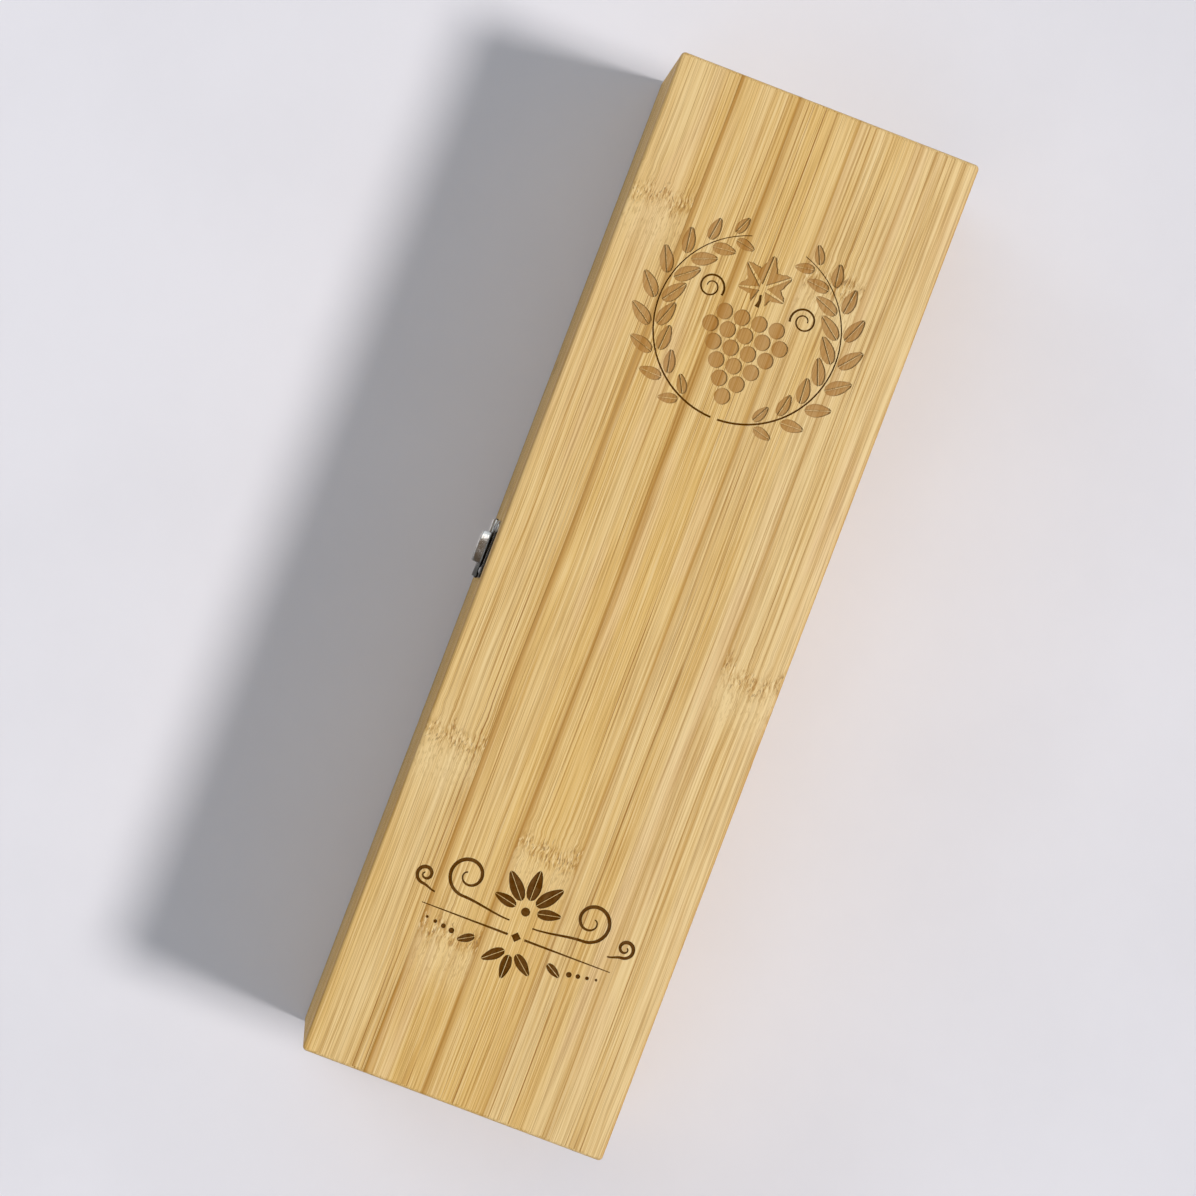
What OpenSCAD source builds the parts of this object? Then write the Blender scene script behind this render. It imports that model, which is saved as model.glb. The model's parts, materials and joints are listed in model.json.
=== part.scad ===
// Hinged bamboo box for one bottle of wine, lying on its floor.
// X runs along the box from the neck end to the foot end, the latch faces -Y and Z is up.
// The origin is on the table, under the middle of the box.

/* [Box] */
// Length over the two end walls
box_l = 350; // [335:1:380]
// Width over the front and back walls
box_w = 105; // [100:1:125]
// Height from the table to the top of the lid
box_h = 98; // [95:1:115]
// Depth of the whole lid, its top panel included
lid_h = 30; // [27:1:36]
// Thickness of the walls and of the lid's rails
wall_t = 9; // [8:0.5:11]
// Thickness of the lid's top panel
top_t = 8; // [6:0.5:10]
// Thickness of the floor panel
floor_t = 5; // [4:0.5:7]
// Depth of the rebate in the walls that takes the floor panel
rebate_d = 4.5; // [3:0.5:6]
// Radius on the four upright corners
corner_r = 1.5; // [1:0.25:4]
// Radius round the lid's top edge
edge_r = 1.2; // [0.6:0.1:3]
// Bevel that eases the edges at the seam and at the table
ease = 0.5; // [0.3:0.1:1]
// Gap between the lid and the base when the box is shut
seam_gap = 0.3; // [0.2:0.05:0.5]
// Glue line between glued pieces
glue_gap = 0.05; // [0.02:0.01:0.1]

/* [Bottle rests] */
// Radius of the bottle's body
bottle_r = 38; // [36:0.5:40]
// Radius of the bottle's neck
neck_r = 15; // [13:0.5:17]
// Slack between the bottle and a rest's curve
bottle_slack = 1; // [0.5:0.25:2]
// Wood left under the body's curve
rest_web = 3.5; // [2.5:0.5:5]
// Thickness of both rests
rest_t = 8; // [6:0.5:12]
// Depth of the grooves in the walls that hold the rests
rest_groove = 2; // [1:0.5:3]
// Slack of a rest in its grooves
rest_fit = 0.1; // [0.05:0.05:0.3]
// Height of the neck rest above the bottle's axis
neck_rest_rise = 6; // [3:0.5:9]
// Depth of the body rest's top below the bottle's axis
body_rest_drop = 11; // [8:0.5:16]
// Distance from the neck end to the middle of the neck rest
neck_rest_at = 55; // [40:1:75]
// Distance from the foot end to the middle of the body rest
body_rest_at = 80; // [60:1:110]

/* [Hinges] */
// Distance from an end of the box to the middle of its hinge
hinge_at = 58; // [40:1:90]
// Length of a hinge
hinge_l = 25; // [22:0.5:32]
// Thickness of a hinge leaf
leaf_t = 0.9; // [0.7:0.1:1.2]
// Outer radius of a hinge barrel
barrel_r = 1.7; // [1.5:0.05:1.85]
// Radius of a hinge pin
hinge_pin_r = 0.8; // [0.6:0.05:0.9]
// Depth of the hinge axis inside the back of the box
hinge_inset = 2; // [2:0.1:3]
// Number of knuckles on a hinge
knuckles = 5; // [3:2:7]
// Gap between neighbouring knuckles
knuckle_gap = 0.15; // [0.1:0.05:0.3]
// Angle at which the bevelled back edges stop the lid
stop_angle = 100; // [92:1:108]
// Distance from the middle of a hinge to each screw
hinge_screw_at = 8; // [7.5:0.25:8.5]
// Shank radius of a hinge screw
screw_r = 0.8; // [0.6:0.05:0.9]
// Head radius of a hinge screw
screw_head_r = 1.7; // [1.4:0.05:1.75]
// Length of a hinge screw
screw_l = 9; // [7:0.5:12]

/* [Latch] */
// Width of the latch's two plates
latch_w = 20.2; // [19:0.1:24]
// Width of the tongue
tongue_w = 10.8; // [9.5:0.1:11.2]
// Sheet thickness of the two plates
plate_t = 0.7; // [0.5:0.05:0.9]
// Sheet thickness of the tongue
tongue_t = 0.6; // [0.5:0.05:0.7]
// Radius of the latch pin
latch_pin_r = 0.6; // [0.5:0.05:0.7]
// Height of the latch pin above the seam
latch_rise = 1.2; // [0.8:0.1:2]
// Height of the upper plate above the pin
upper_plate_h = 11; // [10:0.5:13]
// Height of the catch plate
catch_h = 9.5; // [9:0.5:12]
// Corner radius of both plates
plate_corner_r = 2; // [1:0.25:2.5]
// Length of the tongue's straight top, which sticks out like a duck's bill
bill_l = 2.3; // [2:0.1:2.7]
// Radius of the tongue's shoulder, at the middle of its sheet
bill_r = 1; // [0.8:0.05:1.2]
// Gap between the tongue's waist and the catch plate
waist_gap = 0.65; // [0.5:0.05:0.8]
// Radius at which the tongue's lip turns out
lip_r = 1.2; // [1:0.1:1.6]
// Length of the lip after its turn
lip_l = 1.2; // [0.8:0.1:2]
// How far the catch's nose stands off its plate
nose_r = 2.3; // [2:0.05:2.4]
// Width of the catch's nose
nose_w = 4.4; // [3.5:0.1:5]
// Slack between the nose and the tongue's window
nose_slack = 0.4; // [0.3:0.05:0.5]
// Distance from the middle of the latch to each nail
nail_at = 7.6; // [7.4:0.1:8]
// Shank radius of a nail
nail_r = 0.6; // [0.45:0.05:0.65]
// Head radius of a nail
nail_head_r = 1.25; // [1:0.05:1.4]
// Length of a nail's shank
nail_l = 6.5; // [5:0.5:7.5]

/* [Hidden] */
$fn = 48;
over = 1;                 // how far a cut runs past what it cuts
run_gap = 0.05;           // radial clearance of a pin in its barrel
pilot_gap = 0.02;         // radial clearance of a screw or nail in the wood
stop_slack = 1;           // degrees left between the bevels at the stop
leaf_end_gap = 0.4;       // from a leaf's edge to the inside of the box
pocket_fit = 0.15;        // slack of a hinge in its pocket
barrel_seat_gap = 0.2;    // slack of a barrel in its seat
head_slot_w = 0.4;
head_slot_d = 0.35;
nail_head_h = 0.55;
swing_gap = 0.1;          // side clearance of the tongue between the plate's barrels
bill_start = 68;          // where the tongue's top leaves its barrel, in degrees up from outwards
bill_sweep = 93;          // turn of the tongue's shoulder, in degrees
lip_sweep = 70;           // turn of the lip, in degrees
tongue_corner_r = 2.2;
notch_gap = 0.3;          // from the turned-up shoulder to the top of the upper plate's notch
bar_h = 0.55;             // from the foot of the tongue's window to the tongue's waist
nose_lift = 0.55;         // from the foot of the window to the flat underside of the nose
window_h = 2.8;
catch_rim = 0.9;          // plate above the nose

seam_z = box_h - lid_h;
base_top = seam_z - seam_gap / 2;
rail_foot = seam_z + seam_gap / 2;
rail_top = box_h - top_t - glue_gap;
inner_w = box_w - 2 * wall_t;
bottle_z = floor_t + rest_web + bottle_r + bottle_slack;
neck_rest_x = -box_l / 2 + neck_rest_at;
body_rest_x = box_l / 2 - body_rest_at;
neck_rest_top = bottle_z + neck_rest_rise;
body_rest_top = bottle_z - body_rest_drop;
hinge_y = box_w / 2 - hinge_inset;
hinge_x = box_l / 2 - hinge_at;
leaf_reach = wall_t - hinge_inset - leaf_end_gap;
knuckle_pitch = hinge_l / knuckles;
screw_y = -(barrel_r + leaf_reach) / 2;
stop_half = (stop_angle + stop_slack) / 2;
plate_barrel_r = latch_pin_r + run_gap + plate_t;
tongue_barrel_r = latch_pin_r + run_gap + tongue_t;
latch_y = -box_w / 2 - plate_barrel_r;
latch_z = seam_z + latch_rise;
plate_face = -plate_barrel_r + plate_t;
upper_nail_z = upper_plate_h * 0.6;

// Middle line of the tongue's sheet, as (outwards, up) from the pin
sheet_r = latch_pin_r + run_gap + tongue_t / 2;
bill_end = bill_start - bill_sweep;
bill_c = (sheet_r - bill_r) * [cos(bill_start), sin(bill_start)]
       + bill_l * [sin(bill_start), -cos(bill_start)];
shoulder = bill_c + bill_r * [cos(bill_end), sin(bill_end)];
fall_dir = [sin(bill_end), -cos(bill_end)];
waist = shoulder + (waist_gap + tongue_t / 2 + plate_face - shoulder[0]) / fall_dir[0] * fall_dir;
bill_notch_h = norm(bill_c) + bill_r + tongue_t / 2 + notch_gap;
lip_c = waist + lip_r * [cos(bill_end), sin(bill_end)];
lip_start = bill_end - 180;
lip_end = lip_start + lip_sweep;
lip_dir = [-sin(lip_end), cos(lip_end)];

// Heights measured from the pin
window_foot = waist[1] + bar_h;
nose_foot = window_foot + nose_lift;
catch_top = nose_foot + nose_r + catch_rim;
catch_nail_z = catch_top - catch_h / 2;
tongue_tip = lip_c[1] + (lip_r + tongue_t / 2) * sin(lip_end) + lip_l * lip_dir[1];

FRONT = 0;
FOOT = 90;
BACK = 180;
NECK = 270;

// A rectangle with four round corners
module round_rect(l, w, r) {
    square([l - 2 * r, w], center = true);
    square([l, w - 2 * r], center = true);
    for (x = [-1, 1], y = [-1, 1])
        translate([x * (l / 2 - r), y * (w / 2 - r)]) circle(r);
}

// A rectangle standing on y = 0 with its two top corners round
module round_top(w, h, r) {
    translate([-w / 2, 0]) square([w, h - r]);
    translate([-w / 2 + r, 0]) square([w - 2 * r, h]);
    for (x = [-1, 1])
        translate([x * (w / 2 - r), h - r]) circle(r);
}

// Draws a section of (inwards, up) along X, as seen from the neck end
module along_x(l) {
    rotate([90, 0, 90]) linear_extrude(l, center = true) children();
}

// Draws a section of (outwards from the front, up) along X
module along_latch(l) {
    rotate([90, 0, -90]) linear_extrude(l, center = true) children();
}

module rod_x(r, l) {
    rotate([0, 90, 0]) cylinder(r = r, h = l, center = true);
}

// Moves a wall drawn with its outer face on y = 0 to one side of the box
module at_side(side) {
    reach = (side == FRONT || side == BACK) ? box_w / 2 : box_l / 2;
    rotate(side) translate([0, -reach, 0]) children();
}

function side_length(side) = (side == FRONT || side == BACK) ? box_l : box_w;

// Section of a base wall, as (inwards from the outer face, up), with the floor's rebate
function base_section() =
    let (step = wall_t - rebate_d)
    [[ease, 0], [step, 0], [step, floor_t + glue_gap], [wall_t, floor_t + glue_gap],
     [wall_t, base_top], [ease, base_top], [0, base_top - ease], [0, ease]];

// Section of a lid rail
function rail_section() =
    [[ease, rail_foot], [wall_t, rail_foot], [wall_t, rail_top], [0, rail_top], [0, rail_foot + ease]];

// A wall of that section between two mitres that leave half a glue line each
module mitred_wall(side, section) {
    half = side_length(side) / 2;
    trim = glue_gap / sqrt(2);
    intersection() {
        at_side(side) intersection() {
            along_x(2 * half) polygon(section);
            linear_extrude(box_h)
                polygon([[-half + trim, 0], [half - trim, 0],
                         [half - trim - wall_t, wall_t], [-half + trim + wall_t, wall_t]]);
        }
        linear_extrude(box_h) round_rect(box_l, box_w, corner_r);
    }
}

// The V along the back whose two faces meet when the lid is fully open
module back_bevel() {
    reach = hinge_inset + over;
    translate([0, hinge_y, seam_z])
        along_x(box_l + 2 * over)
            polygon([[0, 0], [reach, reach * tan(stop_half)], [reach, -reach * tan(stop_half)]]);
}

// Puts its children at both hinges, on the hinge axis
module at_hinges() {
    for (x = [-hinge_x, hinge_x])
        translate([x, hinge_y, seam_z]) children();
}

// Turns what is drawn for the base half of a hinge into the lid half
module for_lid() {
    mirror([0, 0, 1]) children();
}

// Room in the wood for the base half of a hinge and its screws
module hinge_pocket() {
    pocket_l = hinge_l + 2 * pocket_fit;
    translate([-pocket_l / 2, -wall_t - over, -seam_gap / 2 - leaf_t])
        cube([pocket_l, wall_t + over, leaf_t + seam_gap]);
    rod_x(barrel_r + barrel_seat_gap, pocket_l);
    at_leaf_screws()
        translate([0, 0, -screw_l - pilot_gap])
            cylinder(r = screw_r + pilot_gap, h = screw_l);
}

module at_leaf_screws() {
    for (x = [-hinge_screw_at, hinge_screw_at])
        translate([x, screw_y, -seam_gap / 2]) children();
}

// Half of a butt hinge below the seam; own is 0 for the end knuckles and 1 for those between
module hinge_leaf(own) {
    knuckle_x = function(i) (i + 0.5) * knuckle_pitch - hinge_l / 2;
    mine = [for (i = [own : 2 : knuckles - 1]) knuckle_x(i)];
    others = [for (i = [1 - own : 2 : knuckles - 1]) knuckle_x(i)];
    color("gainsboro")
    difference() {
        union() {
            translate([-hinge_l / 2 + knuckle_gap / 2, -leaf_reach, -seam_gap / 2 - leaf_t])
                cube([hinge_l - knuckle_gap, leaf_reach, leaf_t]);
            for (x = mine)
                translate([x, 0, 0]) rod_x(barrel_r, knuckle_pitch - knuckle_gap);
        }
        for (x = others)
            translate([x, 0, 0]) rod_x(barrel_r + pocket_fit, knuckle_pitch + knuckle_gap);
        rod_x(hinge_pin_r + run_gap, hinge_l + 2 * over);
        at_leaf_screws() {
            translate([0, 0, -leaf_t - over])
                cylinder(r = screw_r + pilot_gap, h = leaf_t + 2 * over);
            translate([0, 0, -leaf_t])
                cylinder(r1 = screw_r + pilot_gap, r2 = screw_head_r + pilot_gap, h = leaf_t);
        }
    }
}

module hinge_pin() {
    dome = hinge_pin_r / 2;
    straight = hinge_l - 2 * dome;
    color("silver")
    rotate([0, 90, 0]) rotate_extrude()
        polygon([[0, -straight / 2 - dome], [dome, -straight / 2 - dome], [hinge_pin_r, -straight / 2],
                 [hinge_pin_r, straight / 2], [dome, straight / 2 + dome], [0, straight / 2 + dome]]);
}

// Countersunk screw pointing down, its head flush with z = 0
module hinge_screw() {
    tip = 2 * screw_r;
    color("silver")
    difference() {
        rotate_extrude()
            polygon([[0, 0], [screw_head_r, 0], [screw_r, -leaf_t], [screw_r, -screw_l + tip], [0, -screw_l]]);
        for (turn = [0, 90])
            rotate(turn) translate([0, 0, -head_slot_d / 2 + over / 2])
                cube([2 * screw_r + head_slot_w, head_slot_w, head_slot_d + over], center = true);
    }
}

// Grooves that both rests stand in, cut across both long walls
module rest_grooves() {
    for (rest = [[neck_rest_x, neck_rest_top], [body_rest_x, body_rest_top]])
        translate([rest[0] - rest_t / 2 - rest_fit, -inner_w / 2 - rest_groove, floor_t])
            cube([rest_t + 2 * rest_fit, inner_w + 2 * rest_groove, rest[1] - floor_t + rest_fit]);
}

// A board across the box with a round seat for the bottle, open above the bottle's axis
module bottle_rest(x, top, r) {
    half_w = inner_w / 2 + rest_groove - rest_fit;
    foot = floor_t + glue_gap;
    color("burlywood")
    difference() {
        translate([x - rest_t / 2, -half_w, foot]) cube([rest_t, 2 * half_w, top - foot]);
        translate([x, 0, bottle_z]) rod_x(r, rest_t + 2 * over);
        translate([x - rest_t / 2 - over, -r, bottle_z]) cube([rest_t + 2 * over, 2 * r, box_h]);
    }
}

module neck_rest() {
    bottle_rest(neck_rest_x, neck_rest_top, neck_r + bottle_slack);
}

module body_rest() {
    bottle_rest(body_rest_x, body_rest_top, bottle_r + bottle_slack);
}

module floor_panel() {
    in = wall_t - rebate_d + glue_gap;
    color("burlywood")
    translate([-box_l / 2 + in, -box_w / 2 + in, 0])
        cube([box_l - 2 * in, box_w - 2 * in, floor_t]);
}

module base_wall(side) {
    color("navajowhite")
    difference() {
        mitred_wall(side, base_section());
        if (side != FRONT) back_bevel();
        if (side == BACK) at_hinges() hinge_pocket();
        if (side == FRONT || side == BACK) rest_grooves();
        if (side == FRONT) at_latch_nails(catch_nail_z) nail_hole();
    }
}

module lid_rail(side) {
    color("navajowhite")
    difference() {
        mitred_wall(side, rail_section());
        if (side != FRONT) back_bevel();
        if (side == BACK) at_hinges() for_lid() hinge_pocket();
        if (side == FRONT) at_latch_nails(upper_nail_z) nail_hole();
    }
}

// Top board, flush with the rails all round, its top edge rounded over
module lid_panel() {
    color("wheat")
    translate([0, 0, box_h - top_t])
        intersection() {
            linear_extrude(top_t) round_rect(box_l, box_w, corner_r);
            along_x(box_l) round_top(box_w, top_t, edge_r);
            rotate([90, 0, 0]) linear_extrude(box_w, center = true) round_top(box_l, top_t, edge_r);
        }
}

// Moves children to the latch pin
module at_latch() {
    translate([0, latch_y, latch_z]) children();
}

module at_latch_nails(z) {
    for (x = [-nail_at, nail_at])
        translate([x, -box_w / 2, latch_z + z]) children();
}

// Hole into the wood behind the front face
module nail_hole() {
    rotate([-90, 0, 0]) translate([0, 0, -over])
        cylinder(r = nail_r + pilot_gap, h = nail_l + over);
}

// Round-headed nail driven along +Y through a plate whose back is on y = 0
module nail() {
    color("silver")
    rotate([-90, 0, 0]) translate([0, 0, -plate_t])
        rotate_extrude() polygon(concat(
            [[0, nail_l], [nail_r, nail_l - nail_r], [nail_r, 0]],
            [for (a = [0 : 15 : 90]) [nail_head_r * cos(a), -nail_head_h * sin(a)]]));
}

// Plate on the front of the box, its outline drawn about a height measured from the pin
module front_plate(z) {
    translate([0, plate_barrel_r, z]) rotate([90, 0, 0])
        linear_extrude(plate_t) children();
}

module plate_holes(z) {
    for (x = [-nail_at, nail_at])
        translate([x, plate_barrel_r + over, z]) rotate([90, 0, 0])
            cylinder(r = nail_r + run_gap, h = plate_t + 2 * over);
}

// Upper plate with two barrels rolled out of its foot and a gap between them for the tongue
module latch_plate() {
    gap_w = tongue_w + 2 * swing_gap;
    color("gainsboro")
    at_latch() difference() {
        union() {
            front_plate(0) round_top(latch_w, upper_plate_h, plate_corner_r);
            rod_x(plate_barrel_r, latch_w);
        }
        rod_x(latch_pin_r + run_gap, latch_w + 2 * over);
        translate([-gap_w / 2, -plate_barrel_r - over, -plate_barrel_r - over])
            cube([gap_w, 2 * (plate_barrel_r + over), plate_barrel_r + over + bill_notch_h]);
        plate_holes(upper_nail_z);
    }
}

// One edge of the tongue's sheet; off is the offset from its middle line to its outside
function tongue_edge(off) = concat(
    [(sheet_r + off) * [cos(bill_start), sin(bill_start)]],
    [for (i = [0 : 12]) let (a = bill_start - bill_sweep * i / 12)
        bill_c + (bill_r + off) * [cos(a), sin(a)]],
    [for (i = [0 : 8]) let (a = lip_start + lip_sweep * i / 8)
        lip_c + (lip_r - off) * [cos(a), sin(a)]],
    [lip_c + (lip_r - off) * [cos(lip_end), sin(lip_end)] + lip_l * lip_dir]);

function reversed(list) = [for (i = [len(list) - 1 : -1 : 0]) list[i]];

// Sprung tongue: rolled round the pin, out like a duck's bill, down past the nose, lip turned out
module latch_tongue() {
    window_w = nose_w + 2 * nose_slack;
    reach = bill_l + bill_r + tongue_t;
    color("silver")
    at_latch() difference() {
        intersection() {
            union() {
                along_latch(tongue_w)
                    polygon(concat(tongue_edge(tongue_t / 2), reversed(tongue_edge(-tongue_t / 2))));
                rod_x(tongue_barrel_r, tongue_w);
            }
            translate([0, tongue_barrel_r + over, tongue_barrel_r + over]) rotate([90, 0, 0])
                linear_extrude(reach + tongue_barrel_r + over)
                    mirror([0, 1]) round_top(tongue_w, tongue_barrel_r + over - tongue_tip, tongue_corner_r);
        }
        rod_x(latch_pin_r + run_gap, tongue_w + 2 * over);
        translate([-window_w / 2, -reach, window_foot])
            cube([window_w, reach + tongue_barrel_r, window_h]);
    }
}

module latch_pin() {
    dome = latch_pin_r / 3;
    half = latch_w / 2 + dome;
    color("silver")
    at_latch() rotate([0, 90, 0]) rotate_extrude()
        polygon([[0, -half - dome], [latch_pin_r - dome, -half - dome], [latch_pin_r, -half],
                 [latch_pin_r, half], [latch_pin_r - dome, half + dome], [0, half + dome]]);
}

// The front upper quarter of a rod on the catch plate's face, drawn out below by extra
module nose_quarter(r, w, extra) {
    intersection() {
        translate([0, -plate_face, nose_foot]) rod_x(r, w);
        translate([-w / 2, -plate_face - r, nose_foot]) cube([w, r + plate_t, r]);
    }
    if (extra > 0)
        translate([-w / 2, -plate_face - r, nose_foot - extra]) cube([w, r, extra]);
}

// Catch plate with a louvred nose pressed out of it, flat underneath
module latch_catch() {
    color("gainsboro")
    at_latch() difference() {
        union() {
            front_plate(catch_nail_z) round_rect(latch_w, catch_h, plate_corner_r);
            nose_quarter(nose_r, nose_w, 0);
        }
        nose_quarter(nose_r - plate_t, nose_w - 2 * plate_t, over);
        plate_holes(catch_nail_z);
    }
}

module latch_nails(z) {
    at_latch_nails(z) nail();
}

floor_panel();
base_wall(FRONT);  // front_wall
base_wall(BACK);  // back_wall
base_wall(NECK);  // neck_end_wall
base_wall(FOOT);  // foot_end_wall
neck_rest();
body_rest();
lid_panel();
lid_rail(FRONT);  // lid_front_rail
lid_rail(BACK);  // lid_back_rail
lid_rail(NECK);  // lid_neck_rail
lid_rail(FOOT);  // lid_foot_rail
translate([-hinge_x, hinge_y, seam_z]) hinge_leaf(0);  // neck_hinge_base_leaf
translate([-hinge_x, hinge_y, seam_z]) for_lid() hinge_leaf(1);  // neck_hinge_lid_leaf
translate([-hinge_x, hinge_y, seam_z]) hinge_pin();  // neck_hinge_pin
translate([hinge_x, hinge_y, seam_z]) hinge_leaf(0);  // foot_hinge_base_leaf
translate([hinge_x, hinge_y, seam_z]) for_lid() hinge_leaf(1);  // foot_hinge_lid_leaf
translate([hinge_x, hinge_y, seam_z]) hinge_pin();  // foot_hinge_pin
at_hinges() at_leaf_screws() hinge_screw();  // hinge_base_screws
at_hinges() for_lid() at_leaf_screws() hinge_screw();  // hinge_lid_screws
latch_plate();
latch_nails(upper_nail_z);  // latch_plate_nails
latch_tongue();
latch_pin();
latch_catch();
latch_nails(catch_nail_z);  // latch_catch_nails
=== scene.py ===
"""Dresses a hinged bamboo bottle box: pressed bamboo boards, an engraved lid, nickel latch and hinges."""

import json
import logging
import math
from dataclasses import dataclass, field
from enum import Enum
from typing import Any, Callable, Iterator, Union

import bmesh
import bpy
from mathutils import Matrix, Vector

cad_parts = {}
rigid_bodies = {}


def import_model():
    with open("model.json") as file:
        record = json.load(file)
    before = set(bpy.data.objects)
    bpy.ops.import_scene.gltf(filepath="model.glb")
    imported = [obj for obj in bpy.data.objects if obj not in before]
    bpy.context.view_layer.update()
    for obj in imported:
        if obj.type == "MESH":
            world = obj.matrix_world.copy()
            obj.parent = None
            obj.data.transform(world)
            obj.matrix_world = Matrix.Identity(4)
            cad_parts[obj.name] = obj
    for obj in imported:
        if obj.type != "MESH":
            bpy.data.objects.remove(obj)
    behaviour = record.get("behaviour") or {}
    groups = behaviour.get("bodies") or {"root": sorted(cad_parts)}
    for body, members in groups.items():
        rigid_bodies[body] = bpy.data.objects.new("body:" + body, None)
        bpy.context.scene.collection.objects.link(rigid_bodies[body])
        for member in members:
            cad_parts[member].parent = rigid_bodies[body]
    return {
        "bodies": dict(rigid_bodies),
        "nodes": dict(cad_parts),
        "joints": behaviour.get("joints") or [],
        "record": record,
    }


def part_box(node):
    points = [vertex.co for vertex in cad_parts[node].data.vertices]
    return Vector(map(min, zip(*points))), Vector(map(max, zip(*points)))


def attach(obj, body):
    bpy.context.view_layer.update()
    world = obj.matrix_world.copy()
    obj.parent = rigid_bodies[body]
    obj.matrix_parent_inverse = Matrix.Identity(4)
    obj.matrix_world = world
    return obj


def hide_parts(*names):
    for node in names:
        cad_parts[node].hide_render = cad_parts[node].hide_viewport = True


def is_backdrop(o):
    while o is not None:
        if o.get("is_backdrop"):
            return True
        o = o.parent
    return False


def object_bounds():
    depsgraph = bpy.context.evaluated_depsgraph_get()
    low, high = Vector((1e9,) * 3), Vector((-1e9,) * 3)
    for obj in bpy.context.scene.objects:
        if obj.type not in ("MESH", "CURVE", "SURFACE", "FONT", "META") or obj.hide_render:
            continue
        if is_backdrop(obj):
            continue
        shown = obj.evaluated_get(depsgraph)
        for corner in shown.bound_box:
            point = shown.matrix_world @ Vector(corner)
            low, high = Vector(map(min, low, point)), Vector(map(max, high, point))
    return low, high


MM = 0.001
log = logging.getLogger("bottle_box")

Point = tuple[float, float]
Outline = list[Point]
Colour = tuple[float, float, float]
Value = Union["Wire", float, Colour]


def math_node(operation: str, swapped: bool = False) -> Callable[..., "Wire"]:
    """Makes one operator of the wires.

    Args:
        operation: The Math node's operation.
        swapped: Whether the wire comes last, as on the right of a minus sign.

    Returns:
        The operator, a method that adds the node.
    """

    def apply(wire: "Wire", *others: Value) -> "Wire":
        """Returns the result of the operation on the wire and the others."""
        operands = [*others, wire] if swapped else [wire, *others]
        return wire.graph.add("ShaderNodeMath", {"operation": operation}, dict(enumerate(operands)))

    return apply


class Wire:
    """One number, colour or vector on its way through a shader, with arithmetic on numbers."""

    __add__ = __radd__ = math_node("ADD")
    __mul__ = __rmul__ = math_node("MULTIPLY")
    __sub__ = math_node("SUBTRACT")
    __rsub__ = math_node("SUBTRACT", swapped=True)
    __truediv__ = math_node("DIVIDE")
    __abs__ = math_node("ABSOLUTE")
    floor = math_node("FLOOR")
    least = math_node("MINIMUM")
    most = math_node("MAXIMUM")

    def __init__(self, graph: "Graph", socket: bpy.types.NodeSocket) -> None:
        """Wraps one output socket of a shader."""
        self.graph, self.socket = graph, socket

    def rise(self, low: float, high: float) -> "Wire":
        """Returns a smooth step from 0 at low to 1 at high."""
        inputs = {"Value": self, "From Min": low, "From Max": high}
        return self.graph.add("ShaderNodeMapRange", {"interpolation_type": "SMOOTHSTEP"}, inputs)

    def fall(self, low: float, high: float) -> "Wire":
        """Returns a smooth step from 1 at low to 0 at high."""
        return 1.0 - self.rise(low, high)


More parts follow.
